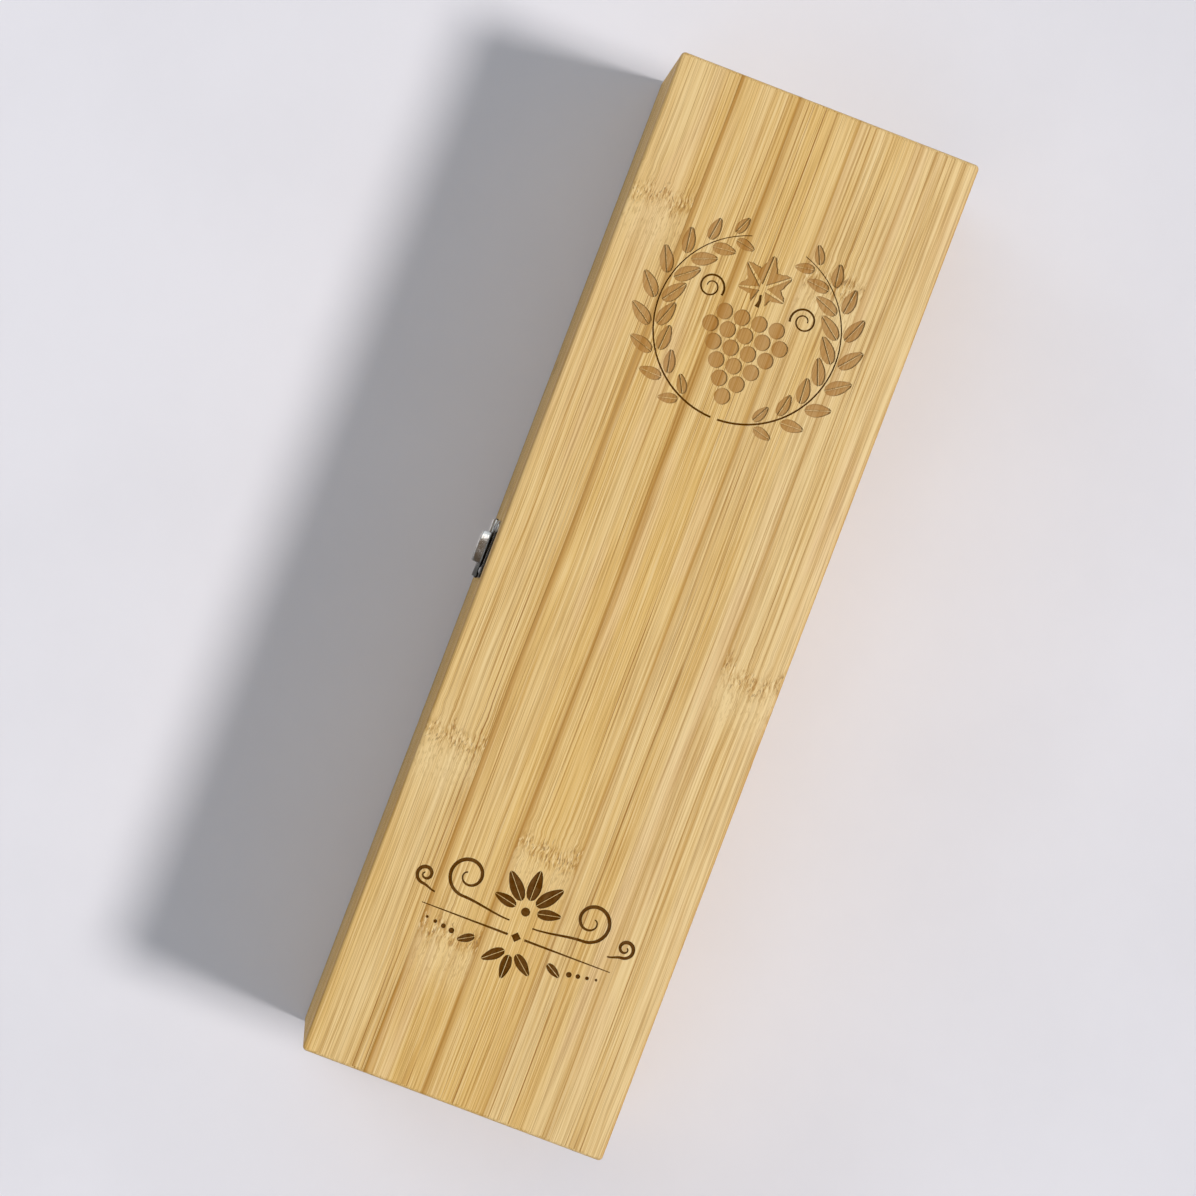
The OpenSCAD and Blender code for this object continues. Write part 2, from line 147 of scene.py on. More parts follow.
class Graph:
    """The node tree of one material or of the world, built from expressions."""

    def __init__(self, owner: Union[bpy.types.Material, bpy.types.World]) -> None:
        """Starts the owner's nodes afresh.

        Args:
            owner: The new material or world that the nodes are for.
        """
        self.owner = owner
        owner.use_nodes = True
        self.tree = owner.node_tree
        self.tree.nodes.clear()

    def add(
        self, kind: str, settings: dict[str, Any], inputs: dict[Union[str, int], Value], out: str = ""
    ) -> Wire:
        """Adds one node of any kind.

        Args:
            kind: The node's type.
            settings: What is set on the node first; stops are a colour ramp's places and colours.
            inputs: Values or wires by socket name, identifier or number.
            out: The output wanted; the first if empty.

        Returns:
            The wire from that output. An end node, which has none, gives its first input.
        """
        node = self.tree.nodes.new(kind)
        for key, value in settings.items():
            if key == "stops":
                self._set_stops(node.color_ramp, value)
            else:
                setattr(node, key, value)
        for key, value in inputs.items():
            socket = self._socket(node.inputs, key)
            if isinstance(value, Wire):
                self.tree.links.new(value.socket, socket)
            elif isinstance(value, tuple) and socket.type == "RGBA":
                socket.default_value = (*value, 1.0)
            else:
                socket.default_value = value
        results = node.outputs if len(node.outputs) else node.inputs
        return Wire(self, self._socket(results, out) if out else results[0])

    @staticmethod
    def _set_stops(ramp: bpy.types.ColorRamp, stops: list[tuple[float, Colour]]) -> None:
        """Gives a colour ramp its stops, with a hard step at each.

        Args:
            ramp: The ramp.
            stops: Each stop's place and colour, in order.
        """
        ramp.interpolation = "CONSTANT"
        while len(ramp.elements) < len(stops):
            ramp.elements.new(1.0)
        for element, (place, colour) in zip(ramp.elements, stops):
            element.position = place
            element.color = (*colour, 1.0)

    @staticmethod
    def _socket(sockets: Any, key: Union[str, int]) -> bpy.types.NodeSocket:
        """Returns the first socket with that number, identifier or name."""
        return next(s for n, s in enumerate(sockets) if key in (n, s.identifier, s.name))

    def place(self) -> tuple[Wire, Wire, Wire]:
        """Returns the surface point in the object's own millimetres."""
        here = self.add("ShaderNodeTexCoord", {}, {}, "Object")
        return tuple(axis * (1 / MM) for axis in self.split(here))

    def facing(self, axis: int) -> Wire:
        """Returns 1 where the surface faces along one of the object's axes."""
        return abs(self.split(self.add("ShaderNodeTexCoord", {}, {}, "Normal"))[axis]).rise(0.6, 0.9)

    def split(self, vector: Wire) -> tuple[Wire, Wire, Wire]:
        """Returns a vector's three numbers."""
        first = self.add("ShaderNodeSeparateXYZ", {}, {0: vector})
        return tuple(Wire(self, s) for s in first.socket.node.outputs)

    def join(self, x: Value, y: Value, z: Value) -> Wire:
        """Returns a vector of three numbers."""
        return self.add("ShaderNodeCombineXYZ", {}, {0: x, 1: y, 2: z})

    def noise(self, where: Wire, detail: float = 2.0, roughness: float = 0.5) -> Wire:
        """Returns smooth noise about 0.5, one feature to each unit, with finer layers on it."""
        inputs = {"Vector": where, "Scale": 1.0, "Detail": detail, "Roughness": roughness}
        return self.add("ShaderNodeTexNoise", {}, inputs)

    def chance(self, seed: Value) -> Wire:
        """Returns a random number from 0 to 1 that depends only on the seed."""
        return self.add("ShaderNodeTexWhiteNoise", {"noise_dimensions": "1D"}, {"W": seed}, "Value")

    def coats(self, colour: Value, *coats: tuple[Value, Value]) -> Wire:
        """Lays coats over a colour.

        Args:
            colour: The ground.
            coats: Each coat's share and colour, the lowest first.

        Returns:
            The colour of them all.
        """
        for share, coat in coats:
            inputs = {"Factor_Float": share, "A_Color": colour, "B_Color": coat}
            colour = self.add("ShaderNodeMix", {"data_type": "RGBA"}, inputs, "Result_Color")
        return colour

    def steps(self, share: Wire, levels: list[float]) -> Wire:
        """Returns one of several levels from 0 to 1, each over an equal part of the share."""
        stops = [(n / len(levels), (level,) * 3) for n, level in enumerate(levels)]
        return self.split(self.add("ShaderNodeValToRGB", {"stops": stops}, {0: share}))[0]

    def bump(self, height: Wire, distance: float, strength: float) -> Wire:
        """Returns the normal for a height from 0 to 1, where 1 is that distance in metres."""
        inputs = {"Height": height, "Distance": distance, "Strength": strength}
        return self.add("ShaderNodeBump", {}, inputs)

    def surface(self, **inputs: Value) -> bpy.types.Material:
        """Ends the material in a Principled shader.

        Args:
            inputs: The shader's sockets by name, with underscores for spaces.

        Returns:
            The finished material.
        """
        named = {key.replace("_", " "): value for key, value in inputs.items()}
        shader = self.add("ShaderNodeBsdfPrincipled", {}, named)
        self.add("ShaderNodeOutputMaterial", {}, {"Surface": shader})
        return self.owner


class Grain(Enum):
    """Which way a board's strips run and lie side by side, as the axes along, across and through it."""

    ALONG_X_ACROSS_Y = (0, 1, 2)
    ALONG_X_ACROSS_Z = (0, 2, 1)
    ALONG_Y_ACROSS_Z = (1, 2, 0)


class Marks(Enum):
    """The kinds of marks in bamboo, each with the numbers of its noise.

    These are the features to a millimetre along and across the fibres, the features to a unit of
    depth, the number of finer layers, how strong those are, and an offset from other marks.
    """

    HAIR = (0.022, 2.60, 2.60, 2.0, 0.7, 0.0)
    THREAD = (0.0035, 2.10, 2.10, 2.0, 0.6, 31.0)
    STROKE = (0.006, 1.65, 1.65, 1.5, 0.6, 83.0)
    CORD = (0.0028, 0.40, 0.40, 1.5, 0.5, 57.0)
    BELT = (0.0020, 0.110, 31.0, 1.0, 0.5, 5.0)
    PATCH = (0.018, 0.05, 17.0, 2.0, 0.5, 9.0)
    FRAY = (0.012, 0.60, 7.0, 2.0, 0.5, 0.0)
    SWIRL = (0.22, 0.22, 50.0, 2.0, 0.5, 0.0)
    DASH = (0.34, 1.60, 40.0, 2.0, 0.65, 0.0)
    SPECK = (0.55, 1.90, 23.0, 1.0, 0.5, 3.0)
    STRAY = (0.05, 0.30, 61.0, 2.0, 0.5, 0.0)

    def read(self, g: "Graph", along: Wire, across: Wire, depth: Wire) -> Wire:
        """Reads the marks at a place.

        Args:
            g: The shader.
            along: The distance along the fibres.
            across: The distance across them.
            depth: The depth in millimetres, or the strip's random number.

        Returns:
            Noise about 0.5.
        """
        by_along, by_across, by_depth, detail, roughness, shift = self.value
        where = g.join(along * by_along, across * by_across, depth * by_depth + shift)
        return g.noise(where, detail, roughness)


@dataclass(frozen=True)
class Strip:
    """One bamboo strip of a board. Lengths are in millimetres.

    Attributes:
        node: Where its first knuckle lies, from the board's start.
        pitch: The distance to its next knuckle.
        seam: How dark its far edge is.
        tone: From 0, warm and yellow, to 1, pale.
    """

    node: float
    pitch: float
    seam: float
    tone: float


@dataclass(frozen=True)
class Bamboo:
    """Flat-pressed bamboo strips, sanded and thinly lacquered. Lengths are in millimetres.

    Attributes:
        name: The material's name.
        grain: The way the strips run.
        start: The board's lowest corner along and across the strips.
        strip_w: The width of a strip.
        ply_t: The thickness of a layer of strips.
        seed: Sets its random pattern.
        strips: The strips of a chosen pattern; empty for a random one.
        shade: How much painted shade darkens it towards umber.
        gloss: Its roughness.
        sheen: How strongly it reflects.
        painted_side_shade: How much painted shade, warmer and darker, lies on its long sides.
        straw: The ground of a warm strip, and the first of its colours.
        relief: The height of its fibres, in metres.
    """

    name: str
    grain: Grain
    start: Point = (0.0, 0.0)
    strip_w: float = 21.0
    ply_t: float = 4.0
    seed: float = 1.0
    strips: tuple[Strip, ...] = ()
    shade: float = 0.0
    gloss: float = 0.50
    sheen: float = 0.22
    painted_side_shade: float = 0.0

    straw: Colour = (0.752, 0.484, 0.155)
    cream: Colour = (0.808, 0.588, 0.276)
    honey: Colour = (0.550, 0.285, 0.052)
    brown: Colour = (0.350, 0.150, 0.014)
    blush: Colour = (0.790, 0.540, 0.300)
    knuckle: Colour = (0.390, 0.180, 0.030)
    soot: Colour = (0.190, 0.075, 0.012)
    shine: Colour = (0.880, 0.680, 0.350)
    umber: Colour = (0.100, 0.040, 0.008)
    pith: Colour = (0.660, 0.450, 0.190)
    relief: float = 0.00012

    def material(self) -> bpy.types.Material:
        """Paints the look.

        Returns:
            The finished material.
        """
        g = Graph(bpy.data.materials.new(self.name))
        colour, height = self.paint(g)
        return g.surface(
            Base_Color=colour,
            Roughness=self.gloss + 0.10 * (0.6 - height),
            Specular_IOR_Level=self.sheen,
            Normal=g.bump(height, self.relief, 0.85),
        )

    def paint(self, g: Graph) -> tuple[Wire, Wire]:
        """Paints the strips.

        Args:
            g: The shader to paint in.

        Returns:
            The colour and the height of the surface.
        """
        axes = g.place()
        along, across, through = (axes[i] for i in self.grain.value)
        along = along - self.start[0]
        wander = g.noise(g.join(along * 0.008, across * 0.02, self.seed), 1.0) - 0.5
        bent = across - self.start[1] + wander * 2.2
        layer = ((through + 0.01) / self.ply_t).floor()
        strip = bent / self.strip_w + g.chance(layer + self.seed) * (0.0 if self.strips else 1.0)
        index = strip.floor()
        if self.strips:
            index = index.most(0.0).least(len(self.strips) - 1.0)
        inside = (strip - index) * self.strip_w
        luck = g.chance(index + layer * 7.3 + self.seed * 3.1)
        node, pitch, seam, tone = self._strip(g, index, luck)

        off_node = along - node
        off_node = off_node - pitch * (off_node / pitch + 0.5).floor()
        arch = (inside / self.strip_w - 0.5) * 2.0
        off_node = off_node + arch * arch * 2.0
        side = g.facing(self.grain.value[1])
        near_node = abs(off_node).fall(2.0, 20.0) * (1.0 - side * 0.85)
        fibre = bent + near_node * (Marks.SWIRL.read(g, along, bent, luck) - 0.5) * 1.5

        deep = (Marks.HAIR, Marks.THREAD, Marks.STROKE, Marks.CORD)
        hair, thread, stroke, cord = (m.read(g, along, fibre, through + luck * 97.0) for m in deep)
        wide = (Marks.BELT, Marks.PATCH, Marks.FRAY)
        belt, patch, fray = (m.read(g, along, fibre, luck) for m in wide)
        pale = (tone * 0.85 + (belt - 0.5) * 1.3 + (patch - 0.5) * 0.7).rise(0.0, 1.0)
        busy = 0.40 + 0.60 * belt.fall(0.40, 0.58)
        line = stroke.fall(0.33, 0.41) * busy * (0.45 + 0.55 * patch.rise(0.36, 0.60))
        edge = inside.fall(0.0, 2.8).most(inside.rise(self.strip_w - 1.6, self.strip_w)) * seam
        fray = fray.rise(0.30, 0.60)
        joint = inside.fall(0.0, 0.30) * seam
        colour = g.coats(
            self.straw,
            (pale, self.cream),
            (patch.fall(0.40, 0.52) * belt.rise(0.42, 0.58) * 0.32, self.blush),
            (cord.rise(0.50, 0.78) * 0.42, self.honey),
            (thread.rise(0.48, 0.62) * busy * 0.54, self.honey),
            (line * 0.90, self.brown),
            (hair.rise(0.50, 0.62) * 0.40, self.brown),
            (hair.fall(0.36, 0.49) * 0.54, self.shine),
            (edge * (0.50 + 0.50 * fray), self.honey),
            (edge * edge * 0.55, self.brown),
            (joint * fray * 0.5, self.brown),
        )
        colour, scar = self._knuckle(g, colour, off_node, along, fibre, luck, side)
        colour = self._end_grain(g, colour, along, bent, through)
        ply = ((through / self.ply_t) - layer).fall(0.0, 0.05)
        colour = g.coats(
            colour,
            (ply * side * 0.5, self.brown),
            # Painted shade on the long sides, warmer and darker.
            (side * self.painted_side_shade, self.honey),
            # Painted shade darkens the whole board towards umber.
            (self.shade, self.umber),
        )
        height = 0.55 * (1.0 - hair.rise(0.45, 0.75)) + 0.45 * (1.0 - line) - scar * 0.5 - joint * 0.5
        return colour, height

    def _strip(self, g: Graph, index: Wire, luck: Wire) -> tuple[Wire, Wire, Wire, Wire]:
        """Looks up what is special to one strip.

        Args:
            g: The shader.
            index: The strip's number.
            luck: The strip's random number.

        Returns:
            Where its knuckle lies, the pitch of its knuckles, the darkness of its edge and its tone.
        """
        if not self.strips:
            pitch = 260.0 + luck * 80.0
            return luck * 240.0 + 15.0, pitch, 0.15 + luck * 0.5, 0.25 + g.chance(luck * 91.0) * 0.6
        share = (index + 0.5) / len(self.strips)
        greatest = {"node": 500.0, "pitch": 500.0, "seam": 1.0, "tone": 1.0}
        return tuple(
            g.steps(share, [getattr(strip, name) / scale for strip in self.strips]) * scale
            for name, scale in greatest.items()
        )

    def _knuckle(
        self, g: Graph, colour: Wire, off: Wire, along: Wire, fibre: Wire, luck: Wire, side: Wire
    ) -> tuple[Wire, Wire]:
        """Adds the rows of short dark dashes and the paler flame that mark a knuckle of the cane.

        Args:
            g: The shader.
            colour: The colour so far.
            off: The distance past the knuckle, along the strip.
            along: The distance along the board.
            fibre: The distance across the fibres.
            luck: The strip's random number.
            side: 1 on the board's long sides.

        Returns:
            The colour, and the depth of the dashes.
        """
        marks = (Marks.DASH, Marks.SPECK, Marks.STRAY)
        dash, speck, stray = (m.read(g, along, fibre, luck) for m in marks)
        ragged = off + (stray - 0.5) * 13.0
        zone = abs(ragged).fall(0.8, 5.5) * (1.0 - side * 0.7)
        flame = ragged.rise(1.0, 6.0) * ragged.fall(7.0, 24.0)
        scar = zone * dash.rise(0.50, 0.66)
        colour = g.coats(
            colour,
            (zone * 0.16, self.honey),
            (flame * 0.30, self.shine),
            (flame * dash.rise(0.52, 0.66) * 0.40, self.knuckle),
            (zone * dash.fall(0.36, 0.48) * 0.75, self.shine),
            (scar * 0.74, self.knuckle),
            (zone * speck.rise(0.58, 0.70) * 0.60, self.soot),
        )
        return colour, scar

    def _end_grain(self, g: Graph, colour: Wire, along: Wire, bent: Wire, through: Wire) -> Wire:
        """Paints the dots of cut fibres where the strips end.

        Args:
            g: The shader.
            colour: The colour so far.
            along: The distance along the strips.
            bent: The distance across the strips.
            through: The distance through the board.

        Returns:
            The colour.
        """
        where = g.join(bent * 1.7, through * 1.7, along * 0.02)
        dots = g.add("ShaderNodeTexVoronoi", {}, {"Vector": where, "Scale": 1.0}, "Distance")
        cut = g.coats(self.pith, (dots.fall(0.18, 0.42) * 0.75, self.knuckle))
        return g.coats(colour, (g.facing(self.grain.value[0]) * 0.85, cut))


class Cut(Enum):
    """The two ways the engraver works the lid: the depth in metres, the burnt colour and its share."""

    FILL = (0.00055, (0.370, 0.165, 0.042), 0.66)
    LINE = (0.00045, (0.098, 0.031, 0.001), 0.96)

    def __init__(self, depth: float, burn: Colour, share: float) -> None:
        """Keeps the values under their names."""
        self.depth, self.burn, self.share = depth, burn, share


@dataclass(frozen=True)
class Scorch:
    """Bamboo burnt by an engraver's beam.

    Attributes:
        board: The board that was engraved.
        cut: How it was engraved.
    """

    board: Bamboo
    cut: Cut

    def material(self) -> bpy.types.Material:
        """Paints the look.

        Returns:
            The finished material.
        """
        g = Graph(bpy.data.materials.new(f"scorched_{self.cut.name.lower()}"))
        colour, height = self.board.paint(g)
        x, y, z = g.place()
        sweep = g.noise(g.join(x * 6.0, y * 0.35, z), 1.0)
        soot = g.noise(g.join(x * 0.3, y * 0.5, z), 3.0)
        veil = self.cut.share + (sweep - 0.5) * 0.10 + (soot - 0.5) * 0.16
        return g.surface(
            Base_Color=g.coats(colour, (veil, self.cut.burn)),
            Roughness=0.72 + 0.1 * (soot - 0.5),
            Specular_IOR_Level=0.0,
            Normal=g.bump(height * 0.4 + sweep * 0.6, 0.00008, 0.6),
        )


@dataclass(frozen=True)
class Nickel:
    """Bright nickel on pressed sheet, a little dulled in patches, with painted shade in its hollows.

    Attributes:
        name: The material's name.
        colour: The metal's colour.
        roughness: The roughness where it is cleanest.
        dirt: How much it is dulled.
        seed: Sets its random marks.
        brown: The part of its colour that is left where it is dull.
        spot: The colour of its small pits.
        painted_shade_colour: The colour of the painted shade in its corners and hollows.
        reach: How near a neighbour must be for painted shade to darken it, in metres.
        painted_dark_end: How much painted dark reflection lies on the end towards +X; above 0 the painted
            shade in the hollows is also weaker at the other end.
    """

    name: str
    colour: Colour = (0.78, 0.74, 0.68)
    roughness: float = 0.07
    dirt: float = 0.6
    seed: float = 1.0
    brown: Colour = (0.62, 0.54, 0.45)
    spot: Colour = (0.16, 0.13, 0.10)
    painted_shade_colour: Colour = (0.006, 0.004, 0.003)
    reach: float = 0.0070
    painted_dark_end: float = 0.0

    def material(self) -> bpy.types.Material:
        """Paints the look.

        Returns:
            The finished material.
        """
        g = Graph(bpy.data.materials.new(self.name))
        x, y, z = g.place()
        cloud = g.noise(g.join(x * 0.45, y * 0.45, z * 0.45 + self.seed), 3.0, 0.6)
        rub = g.noise(g.join(x * 0.6 + self.seed, y * 5.0, z * 5.0), 3.0, 0.65)
        pit = g.noise(g.join(x * 4.5, y * 4.5, z * 4.5 + self.seed), 2.0)
        dull = cloud.rise(0.45, 0.75) * self.dirt
        dulled = tuple(c * share for c, share in zip(self.colour, self.brown))
        near = {"Distance": self.reach}
        # Painted shade: corners and hollows go near-black by how closed in they are.
        open_air = g.add("ShaderNodeAmbientOcclusion", {"samples": 8}, near, "AO")
        painted_shade = open_air.fall(0.50, 1.0) * (0.90 + 0.20 * cloud)
        # Painted dark reflection towards +X, and weaker painted shade towards -X.
        if self.painted_dark_end:
            drift = x + (cloud - 0.5) * 5.0
            painted_shade = painted_shade * (0.30 + 0.70 * drift.rise(-10.0, -4.0))
            painted_shade = painted_shade.most(drift.rise(-2.0, 9.0) * self.painted_dark_end)
        pitted = pit.rise(0.66, 0.76) * 0.5 * self.dirt
        coats = (dull * 0.7, dulled), (pitted, self.spot), (painted_shade, self.painted_shade_colour)
        return g.surface(
            Base_Color=g.coats(self.colour, *coats),
            Metallic=1.0 - 0.25 * dull,
            Roughness=self.roughness + dull * 0.16 + painted_shade * 0.3 + (rub - 0.5) * 0.10,
            Normal=g.bump(rub * 0.6 + pit * 0.4, 0.00002, 0.5),
        )


@dataclass(frozen=True)
class PaleFloor:
    """A smooth pale floor.

    Attributes:
        name: The material's name.
        colour: The floor's colour.
        worn: The part of its colour that is left where it is worn.
    """

    name: str = "pale_floor"
    colour: Colour = (0.775, 0.762, 0.800)
    worn: float = 0.93

    def material(self) -> bpy.types.Material:
        """Paints the look.

        Returns:
            The finished material.
        """
        g = Graph(bpy.data.materials.new(self.name))
        x, y, z = g.place()
        cloud = g.noise(g.join(x * 0.006, y * 0.006, z), 4.0, 0.55)
        fine = g.noise(g.join(x * 0.12, y * 0.12, z), 3.0, 0.6)
        dull = tuple(c * self.worn for c in self.colour)
        rubbed = cloud.rise(0.35, 0.7) * 0.6 + (fine - 0.5) * 0.25
        return g.surface(
            Base_Color=g.coats(self.colour, (rubbed, dull)),
            Roughness=0.8,
            Specular_IOR_Level=0.2,
            Normal=g.bump(fine, 0.0002, 0.3),
        )


def shares(steps: int) -> list[float]:
    """Returns the numbers from 0 to 1 in that many even steps."""
    return [n / steps for n in range(steps + 1)]


@dataclass
class Ornament:
    """A grape bunch in a wreath, and a scrolled rule, as outlines in millimetres.

    Across is to the right and up is towards the neck end, as seen from above. Each outline is
    simple, and no two of them touch.

    Attributes:
        wreath_at: The middle of the wreath, from the neck end.
        wreath_r: The radius of its stems.
        stem_w: The width of a stem.
        leaves: The leaves on each side of a stem.
        leaf_l: The length of a wreath leaf.
        leaf_w: The width of a wreath leaf.
        rib: The gap left along a leaf's midrib.
        grape_r: The radius of a grape.
        grape_pitch: The distance between neighbouring grapes.
        bunch: The grapes in each row, from the top.
        scroll_at: The middle of the scrolled rule, from the neck end.
        scroll_w: Its length.
        scroll_r: The radius of its curls.
    """

    wreath_at: float = 78.0
    wreath_r: float = 31.0
    stem_w: float = 0.7
    leaves: int = 9
    leaf_l: float = 10.5
    leaf_w: float = 4.4
    rib: float = 0.45
    grape_r: float = 2.75
    grape_pitch: float = 6.1
    bunch: tuple[int, ...] = (4, 5, 4, 3, 2, 1)
    scroll_at: float = 288.0
    scroll_w: float = 66.0
    scroll_r: float = 7.0

    def outlines(self) -> Iterator[tuple[Cut, float, Outline]]:
        """Gives each outline of the whole design.

        Yields:
            How it is cut, its distance from the neck end, and the outline about that place.
        """
        stalk = self.ribbon([(0.0, 12.4), (0.35, 10.4), (0.1, 8.2)], [0.8, 0.9, 1.5])
        fills = [*self._grapes(), *self._vine_leaf((0.0, 14.6), 11.5), *self._wreath_leaves()]
        lines = [stalk, *self._stems(), *self._tendrils()]
        yield from ((Cut.FILL, self.wreath_at, outline) for outline in fills)
        yield from ((Cut.LINE, self.wreath_at, outline) for outline in lines)
        yield from ((Cut.LINE, self.scroll_at, outline) for outline in self._scroll())

    @staticmethod
    def disc(middle: Point, radius: float, corners: int = 28) -> Outline:
        """Returns a regular outline, round or with few corners."""
        turns = [2 * math.pi / corners * n for n in range(corners)]
        return [(middle[0] + radius * math.cos(a), middle[1] + radius * math.sin(a)) for a in turns]

    @staticmethod
    def ribbon(path: list[Point], widths: list[float]) -> Outline:
        """Sweeps a line of changing width along a path.

        Args:
            path: The points of its middle line.
            widths: Its width at each point.

        Returns:
            The outline.
        """
        left, right = [], []
        for n, (x, y) in enumerate(path):
            before, after = path[max(n - 1, 0)], path[min(n + 1, len(path) - 1)]
            dx, dy = after[0] - before[0], after[1] - before[1]
            scale = widths[n] / 2 / math.hypot(dx, dy)
            left.append((x - dy * scale, y + dx * scale))
            right.append((x + dy * scale, y - dx * scale))
        return left + right[::-1]

    @staticmethod
    def placed(outline: Outline, at: Point, turn: float) -> Outline:
        """Turns an outline by an angle in degrees, then moves it."""
        c, s = math.cos(math.radians(turn)), math.sin(math.radians(turn))
        return [(at[0] + x * c - y * s, at[1] + x * s + y * c) for x, y in outline]

    def _leaf(self, at: Point, heading: float, length: float, width: float) -> Iterator[Outline]:
        """Yields the two halves of a pointed leaf, with its midrib left between them.

        Args:
            at: The leaf's foot.
            heading: Its direction, in degrees.
            length: Its length.
            width: Its greatest width.
        """
        half_rib = self.rib / 2
        edge = []
        for t in shares(10)[1:-1]:
            edge.append((length * t, half_rib + width / 2 * math.sin(math.pi * t**0.8) ** 0.9))
        edge += [(length * 0.96, half_rib * 0.4), (length * 0.04, half_rib * 0.4)]
        for side in (1, -1):
            yield self.placed([(x, side * y) for x, y in edge], at, heading)

    def _wreath_leaves(self) -> Iterator[Outline]:
        """Yields the leaves on both sides of both stems, the longest halfway up."""
        first, span, lean, gap = 24, 128, 38, 0.65
        for side in (-1, 1):
            for t in shares(self.leaves - 1):
                turn = first + span * t
                size = 1.0 - 0.30 * (2 * t - 1) ** 2
                for reach in (1, -1):
                    off = self.wreath_r + reach * (self.stem_w / 2 + gap)
                    at = self._polar(off, 180 - side * turn)
                    heading = side * (turn + 90 - reach * lean) - 90
                    yield from self._leaf(at, heading, self.leaf_l * size, self.leaf_w * size)

    def _stems(self) -> Iterator[Outline]:
        """Yields the two stems of the wreath, open at the top."""
        for side in (-1, 1):
            path = [self._polar(self.wreath_r, 180 - side * (2.2 + 160 * t)) for t in shares(40)]
            yield self.ribbon(path, [self.stem_w * (1.0 - 0.6 * t) for t in shares(40)])

    def _grapes(self) -> Iterator[Outline]:
        """Yields the grapes of the bunch, in rows that nest."""
        row_h = self.grape_pitch * math.sin(math.radians(60))
        top = 3.2
        for row, count in enumerate(self.bunch):
            for n in range(count):
                across = (n - (count - 1) / 2) * self.grape_pitch
                yield self.disc((across, top - row * row_h), self.grape_r)

    def _vine_leaf(self, at: Point, size: float) -> Iterator[Outline]:
        """Yields a lobed vine leaf in pieces, with its veins left between them.

        Args:
            at: The place where its veins meet.
            size: The length of its middle vein.
        """
        tips = ((0, 1.0), (50, 0.90), (104, 0.74), (158, 0.52))
        for (first, long), (second, short) in zip(tips, tips[1:]):
            for side in (-1, 1):
                outline = [self._polar(size * 0.09, (first + second) / 2)]
                for n, t in enumerate(shares(12)):
                    waist = 0.60 + 0.40 * abs(2 * t - 1) ** 1.3
                    tooth = 1.05 if n % 3 == 1 else 1.0
                    radius = size * (long + (short - long) * t) * waist * tooth
                    outline.append(self._polar(radius, first + (second - first) * t))
                yield [(at[0] + side * x, at[1] + y) for x, y in self._inset(outline, self.rib / 2)]

    @staticmethod
    def _polar(radius: float, degrees: float) -> Point:
        """Returns the point at a distance and a clockwise angle from upright."""
        return radius * math.sin(math.radians(degrees)), radius * math.cos(math.radians(degrees))

    @staticmethod
    def _inset(outline: Outline, gap: float) -> Outline:
        """Draws every corner of an outline towards its middle.

        Args:
            outline: The outline.
            gap: How far.

        Returns:
            The smaller outline.
        """
        mx = sum(x for x, _ in outline) / len(outline)
        my = sum(y for _, y in outline) / len(outline)
        moved = []
        for x, y in outline:
            reach = math.hypot(x - mx, y - my)
            moved.append((mx + (x - mx) * (1 - gap / reach), my + (y - my) * (1 - gap / reach)))
        return moved

    def _tendrils(self) -> Iterator[Outline]:
        """Yields a curled tendril on each side of the bunch's stalk."""
        for side in (-1, 1):
            path = []
            for t in shares(44):
                x, y = self._polar(4.6 * (1.0 - 0.72 * t), 560 * t - 110)
                path.append((side * (16.3 + x), 9.2 + y))
            yield self.ribbon(path, [0.75 - 0.35 * t for t in shares(44)])

    def _sprig(self, at: Point, headings: tuple[float, ...], length: float, gap: float) -> Iterator[Outline]:
        """Yields leaves that fan out from a point.

        Args:
            at: The point.
            headings: The direction of each leaf, in degrees.
            length: The length of a leaf.
            gap: The distance from the point to a leaf's foot.
        """
        for heading in headings:
            foot = self.placed([(gap, 0.0)], at, heading)[0]
            yield from self._leaf(foot, heading, length, length * 0.36)

    def _curl(self, side: int, middle: Point, radius: float, lead: Point) -> Outline:
        """Draws a line that runs out from near the middle and winds into a spiral.

        Args:
            side: 1 for the right, -1 for the left.
            middle: The spiral's middle on the right.
            radius: Its radius where the line comes in from below.
            lead: Where the line starts.

        Returns:
            The outline.
        """
        foot = (middle[0], middle[1] - radius)
        path = []
        for t in shares(14)[:-1]:
            bend = 3 * t**2 - 2 * t**3
            path.append((lead[0] + (foot[0] - lead[0]) * t, lead[1] + (foot[1] - lead[1]) * bend))
        for t in shares(60):
            x, y = self._polar(radius * ((1.0 - t) ** 0.9 * 0.84 + 0.16), 180 - 500 * t)
            path.append((middle[0] + x, middle[1] + y))
        widths = [0.50 + 0.75 * math.sin(math.pi * min(t * 1.15, 1.0)) for t in shares(len(path) - 1)]
        return self.ribbon([(side * x, y) for x, y in path], widths)

